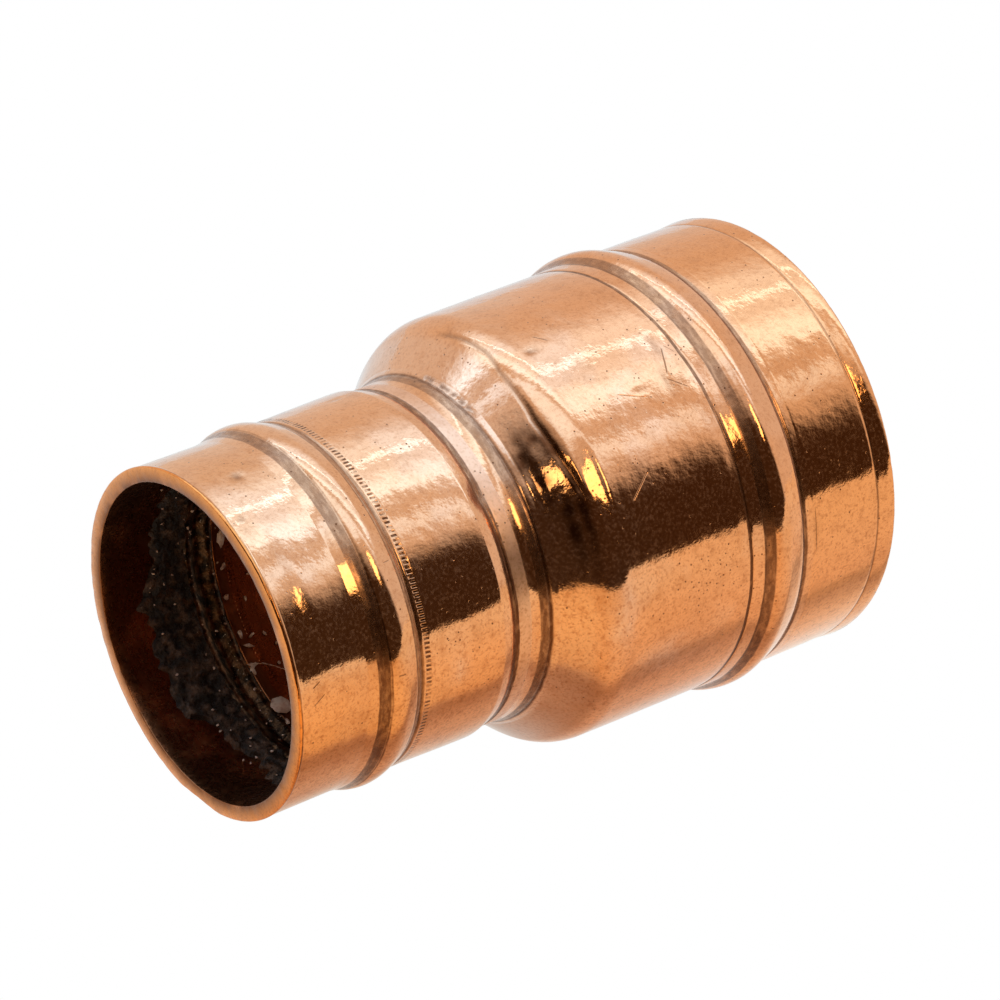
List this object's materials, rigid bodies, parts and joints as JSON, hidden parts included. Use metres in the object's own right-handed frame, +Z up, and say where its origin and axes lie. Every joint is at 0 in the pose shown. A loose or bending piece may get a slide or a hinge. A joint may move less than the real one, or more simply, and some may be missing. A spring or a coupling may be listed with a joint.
{
  "type": "solder-ring reducing coupling",
  "caption": "Concentric reducer in copper: a small and a large plain socket joined by a waist and a rounded shoulder, each with a solder ring held in a rolled bead.",
  "frame": {"origin": "on the coupling's axis, halfway between the two mouths", "axes": "+X along the axis, from the small mouth to the large mouth; +Z up as the coupling lies on its side"},
  "size_m": [0.0468, 0.0316, 0.0316],
  "materials": {
    "copper": "drawn copper, bright with handling marks",
    "solder": "dull tin solder"
  },
  "bodies": {
    "root": {"body": "copper", "small_solder_ring": "solder", "large_solder_ring": "solder"}
  },
  "joints": []
}
